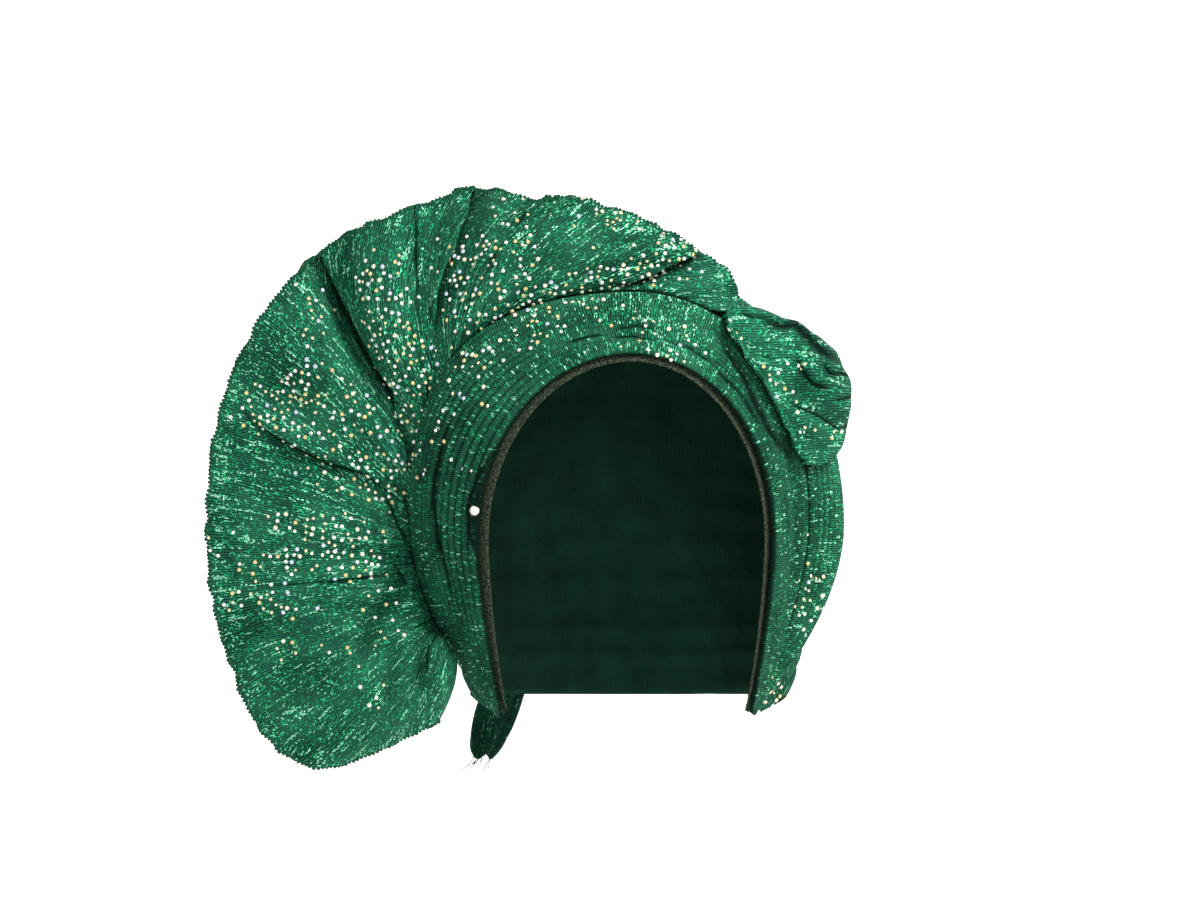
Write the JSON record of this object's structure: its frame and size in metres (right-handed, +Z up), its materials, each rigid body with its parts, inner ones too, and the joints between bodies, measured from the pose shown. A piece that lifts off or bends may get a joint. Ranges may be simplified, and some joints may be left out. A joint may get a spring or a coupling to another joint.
{
  "type": "tied gele head tie",
  "caption": "Ribbed cloth head tie, pleated over the brow, spread into a tall ruffled fan on one side and folded into a rosette on the other, with an open hollow for the head.",
  "frame": {"origin": "the top of the head, inside the wrap's crown", "axes": "+X to the wearer's left, the side of the rosette; +Y to the back of the head; +Z up"},
  "size_m": [0.2804, 0.1941, 0.2539],
  "materials": {
    "ribbed_cloth": "metallic ribbed",
    "sheer_edge": "sheer",
    "pearl": "pearl"
  },
  "bodies": {
    "root": {"head_wrap": "ribbed_cloth", "brow_band": "ribbed_cloth", "sheer_edge": "sheer_edge", "fan": "ribbed_cloth", "rosette": "ribbed_cloth", "nape_knot": "ribbed_cloth", "tie_tail": "ribbed_cloth", "pearl_pin": "pearl"}
  },
  "joints": []
}
